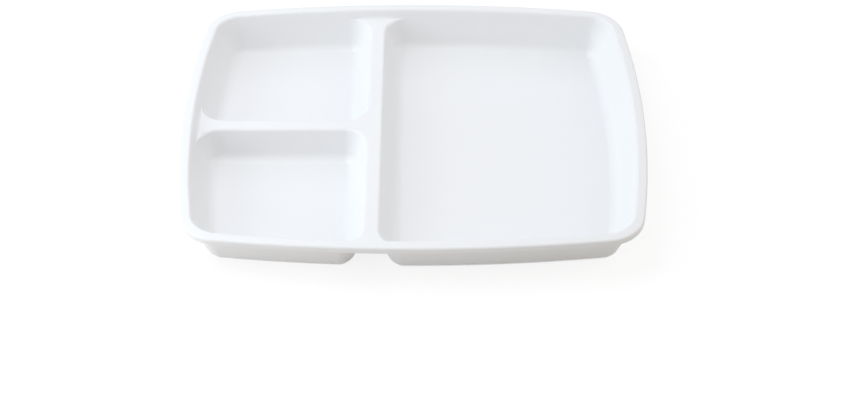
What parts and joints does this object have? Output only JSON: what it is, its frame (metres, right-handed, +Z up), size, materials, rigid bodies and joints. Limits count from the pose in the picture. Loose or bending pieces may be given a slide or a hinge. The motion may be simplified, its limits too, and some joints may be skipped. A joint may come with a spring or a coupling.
{
  "type": "divided compartment plate",
  "caption": "White moulded serving plate with a bowed rectangular outline, a flat rim and low flared dividers that part it into a large well and smaller side wells.",
  "frame": {"origin": "on the table, under the middle of the plate's outline", "axes": "+X along the plate's width towards the large well, +Y to the back, +Z up out of the wells"},
  "size_m": [0.272, 0.22, 0.028],
  "materials": {
    "plate_white": "smooth white moulded resin with a soft satin gloss"
  },
  "bodies": {
    "root": {"rim": "plate_white", "large_well": "plate_white", "rear_small_well": "plate_white", "front_small_well": "plate_white", "long_divider": "plate_white", "cross_divider": "plate_white"}
  },
  "joints": []
}
